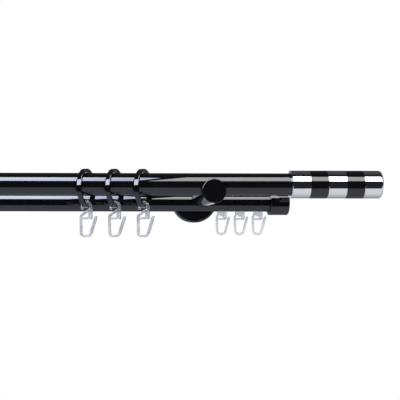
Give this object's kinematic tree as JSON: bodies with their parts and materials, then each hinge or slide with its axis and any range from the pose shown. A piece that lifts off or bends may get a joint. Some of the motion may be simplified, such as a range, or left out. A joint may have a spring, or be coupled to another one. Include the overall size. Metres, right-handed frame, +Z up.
{
  "type": "double curtain rod",
  "caption": "Double curtain rod: a glossy black front tube with rings and striped cylinder finials, a slotted rear tube with hook gliders, and round wall brackets.",
  "frame": {"origin": "on the wall, midway between the two brackets, at the height of the arms' axes", "axes": "+X along the rod, -Y into the room, +Z up"},
  "size_m": [1.2048, 0.1148, 0.0769],
  "materials": {
    "black_lacquer": "gloss",
    "chrome_plate": "polished",
    "clear_plastic": "clear",
    "white_plastic": "satin",
    "zinc_steel": "zinc plated",
    "screw_steel": "blackened"
  },
  "bodies": {
    "rod": {"front_tube": "black_lacquer", "rear_tube": "black_lacquer", "tube_grubs": "screw_steel", "spigot_grubs": "screw_steel", "tube_screws": "screw_steel", "tube_nuts": "zinc_steel", "wall_plate_left": "zinc_steel", "rose_left": "black_lacquer", "arm_left": "black_lacquer", "finial_core_left": "black_lacquer", "band_chrome_a_left": "chrome_plate", "band_black_a_left": "black_lacquer", "band_chrome_b_left": "chrome_plate", "band_black_b_left": "black_lacquer", "finial_end_left": "chrome_plate", "end_cap_left": "black_lacquer", "wall_plate_right": "zinc_steel", "rose_right": "black_lacquer", "arm_right": "black_lacquer", "finial_core_right": "black_lacquer", "band_chrome_a_right": "chrome_plate", "band_black_a_right": "black_lacquer", "band_chrome_b_right": "chrome_plate", "band_black_b_right": "black_lacquer", "finial_end_right": "chrome_plate", "end_cap_right": "black_lacquer"},
    "ring_left_1": {"ring_left_1": "black_lacquer"},
    "ring_hook_left_1": {"ring_hook_left_1": "clear_plastic"},
    "glider_left_1": {"glider_left_1": "white_plastic"},
    "glider_hook_left_1": {"glider_hook_left_1": "clear_plastic"},
    "ring_left_2": {"ring_left_2": "black_lacquer"},
    "ring_hook_left_2": {"ring_hook_left_2": "clear_plastic"},
    "glider_left_2": {"glider_left_2": "white_plastic"},
    "glider_hook_left_2": {"glider_hook_left_2": "clear_plastic"},
    "ring_left_3": {"ring_left_3": "black_lacquer"},
    "ring_hook_left_3": {"ring_hook_left_3": "clear_plastic"},
    "glider_left_3": {"glider_left_3": "white_plastic"},
    "glider_hook_left_3": {"glider_hook_left_3": "clear_plastic"},
    "ring_right_1": {"ring_right_1": "black_lacquer"},
    "ring_hook_right_1": {"ring_hook_right_1": "clear_plastic"},
    "glider_right_1": {"glider_right_1": "white_plastic"},
    "glider_hook_right_1": {"glider_hook_right_1": "clear_plastic"},
    "ring_right_2": {"ring_right_2": "black_lacquer"},
    "ring_hook_right_2": {"ring_hook_right_2": "clear_plastic"},
    "glider_right_2": {"glider_right_2": "white_plastic"},
    "glider_hook_right_2": {"glider_hook_right_2": "clear_plastic"},
    "ring_right_3": {"ring_right_3": "black_lacquer"},
    "ring_hook_right_3": {"ring_hook_right_3": "clear_plastic"},
    "glider_right_3": {"glider_right_3": "white_plastic"},
    "glider_hook_right_3": {"glider_hook_right_3": "clear_plastic"}
  },
  "joints": [
    {"name": "ring_slide_left_1", "type": "slide", "parent": "rod", "child": "ring_left_1", "axis": [1, 0, 0], "range_m": [-0.045, 0.007]},
    {"name": "ring_hook_swing_left_1", "type": "hinge", "parent": "ring_left_1", "child": "ring_hook_left_1", "pos_m": [-0.3286, -0.0955, -0.01668], "axis": [0.5592, 0.829, 0], "range_deg": [-35, 35]},
    {"name": "glider_slide_left_1", "type": "slide", "parent": "rod", "child": "glider_left_1", "axis": [1, 0, 0], "range_m": [-0.002, 0.405]},
    {"name": "glider_hook_swivel_left_1", "type": "hinge", "parent": "glider_left_1", "child": "glider_hook_left_1", "pos_m": [-0.4279, -0.0515, -0.0221], "axis": [0, 0, 1], "range_deg": [-90, 90]},
    {"name": "ring_slide_left_2", "type": "slide", "parent": "rod", "child": "ring_left_2", "axis": [1, 0, 0], "range_m": [-0.007, 0.007]},
    {"name": "ring_hook_swing_left_2", "type": "hinge", "parent": "ring_left_2", "child": "ring_hook_left_2", "pos_m": [-0.29605, -0.0955, -0.01668], "axis": [0.5592, 0.829, 0], "range_deg": [-35, 35]},
    {"name": "glider_slide_left_2", "type": "slide", "parent": "rod", "child": "glider_left_2", "axis": [1, 0, 0], "range_m": [-0.002, 0.002]},
    {"name": "glider_hook_swivel_left_2", "type": "hinge", "parent": "glider_left_2", "child": "glider_hook_left_2", "pos_m": [-0.4487, -0.0515, -0.0221], "axis": [0, 0, 1], "range_deg": [-90, 90]},
    {"name": "ring_slide_left_3", "type": "slide", "parent": "rod", "child": "ring_left_3", "axis": [1, 0, 0], "range_m": [-0.007, 0.235]},
    {"name": "ring_hook_swing_left_3", "type": "hinge", "parent": "ring_left_3", "child": "ring_hook_left_3", "pos_m": [-0.2635, -0.0955, -0.01668], "axis": [0.5592, 0.829, 0], "range_deg": [-35, 35]},
    {"name": "glider_slide_left_3", "type": "slide", "parent": "rod", "child": "glider_left_3", "axis": [1, 0, 0], "range_m": [-0.006, 0.002]},
    {"name": "glider_hook_swivel_left_3", "type": "hinge", "parent": "glider_left_3", "child": "glider_hook_left_3", "pos_m": [-0.4695, -0.0515, -0.0221], "axis": [0, 0, 1], "range_deg": [-90, 90]},
    {"name": "ring_slide_right_1", "type": "slide", "parent": "rod", "child": "ring_right_1", "axis": [1, 0, 0], "range_m": [-0.007, 0.045]},
    {"name": "ring_hook_swing_right_1", "type": "hinge", "parent": "ring_right_1", "child": "ring_hook_right_1", "pos_m": [0.3286, -0.0955, -0.01668], "axis": [0.5592, 0.829, 0], "range_deg": [-35, 35]},
    {"name": "glider_slide_right_1", "type": "slide", "parent": "rod", "child": "glider_right_1", "axis": [1, 0, 0], "range_m": [-0.405, 0.002]},
    {"name": "glider_hook_swivel_right_1", "type": "hinge", "parent": "glider_right_1", "child": "glider_hook_right_1", "pos_m": [0.4279, -0.0515, -0.0221], "axis": [0, 0, 1], "range_deg": [-90, 90]},
    {"name": "ring_slide_right_2", "type": "slide", "parent": "rod", "child": "ring_right_2", "axis": [1, 0, 0], "range_m": [-0.007, 0.007]},
    {"name": "ring_hook_swing_right_2", "type": "hinge", "parent": "ring_right_2", "child": "ring_hook_right_2", "pos_m": [0.29605, -0.0955, -0.01668], "axis": [0.5592, 0.829, 0], "range_deg": [-35, 35]},
    {"name": "glider_slide_right_2", "type": "slide", "parent": "rod", "child": "glider_right_2", "axis": [1, 0, 0], "range_m": [-0.002, 0.002]},
    {"name": "glider_hook_swivel_right_2", "type": "hinge", "parent": "glider_right_2", "child": "glider_hook_right_2", "pos_m": [0.4487, -0.0515, -0.0221], "axis": [0, 0, 1], "range_deg": [-90, 90]},
    {"name": "ring_slide_right_3", "type": "slide", "parent": "rod", "child": "ring_right_3", "axis": [1, 0, 0], "range_m": [-0.235, 0.007]},
    {"name": "ring_hook_swing_right_3", "type": "hinge", "parent": "ring_right_3", "child": "ring_hook_right_3", "pos_m": [0.2635, -0.0955, -0.01668], "axis": [0.5592, 0.829, 0], "range_deg": [-35, 35]},
    {"name": "glider_slide_right_3", "type": "slide", "parent": "rod", "child": "glider_right_3", "axis": [1, 0, 0], "range_m": [-0.002, 0.006]},
    {"name": "glider_hook_swivel_right_3", "type": "hinge", "parent": "glider_right_3", "child": "glider_hook_right_3", "pos_m": [0.4695, -0.0515, -0.0221], "axis": [0, 0, 1], "range_deg": [-90, 90]}
  ]
}
